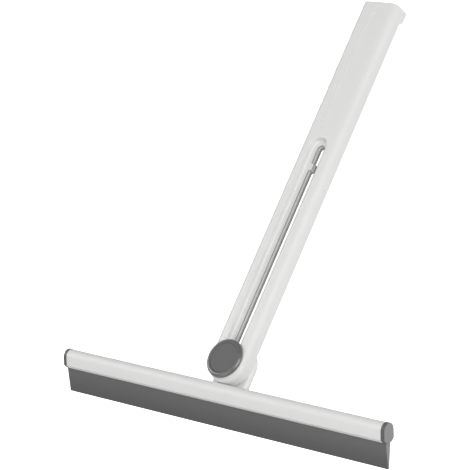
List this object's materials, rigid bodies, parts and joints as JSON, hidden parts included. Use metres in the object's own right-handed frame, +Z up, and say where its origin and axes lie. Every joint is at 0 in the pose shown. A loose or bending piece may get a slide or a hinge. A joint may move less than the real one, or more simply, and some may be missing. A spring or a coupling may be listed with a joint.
{
  "type": "window cleaning squeegee",
  "caption": "Window cleaning squeegee with a flat slotted handle, a blade head that swivels on a capped pivot, and a tapered rubber blade held in a straight round-topped holder.",
  "frame": {"origin": "centre of the bounding box at floor level, with the tool lying on its back", "axes": "+Y from the blade to the free end of the handle, +X to the right along the blade, +Z up, out of the front face"},
  "size_m": [0.2412, 0.2736, 0.0214],
  "materials": {
    "white_plastic": "satin white moulded plastic",
    "grey_plastic": "satin dark grey moulded plastic",
    "slot_grey": "plain mid grey plastic",
    "blade_rubber": "smooth dark grey wiping rubber",
    "nylon": "plain off-white nylon",
    "screw_steel": "plain zinc-plated steel"
  },
  "bodies": {
    "handle": {"handle_shell": "white_plastic", "slot_seal": "slot_grey", "slide_track": "slot_grey"},
    "head": {"swivel_lug": "white_plastic", "friction_ring": "nylon", "glide_ring": "nylon", "pivot_cap": "grey_plastic", "pivot_screw": "screw_steel", "spring_washer": "screw_steel", "flat_washer": "screw_steel", "blade_holder": "white_plastic", "rubber_blade": "blade_rubber", "end_cap_left": "grey_plastic", "end_cap_right": "grey_plastic", "neck_screw_left": "screw_steel", "neck_screw_right": "screw_steel"}
  },
  "joints": [
    {"name": "head_swivel", "type": "hinge", "parent": "handle", "child": "head", "pos_m": [0, -0.10146, 0.01861], "axis": [0, 0.0267, 0.9996], "range_deg": [-90, 90]}
  ]
}
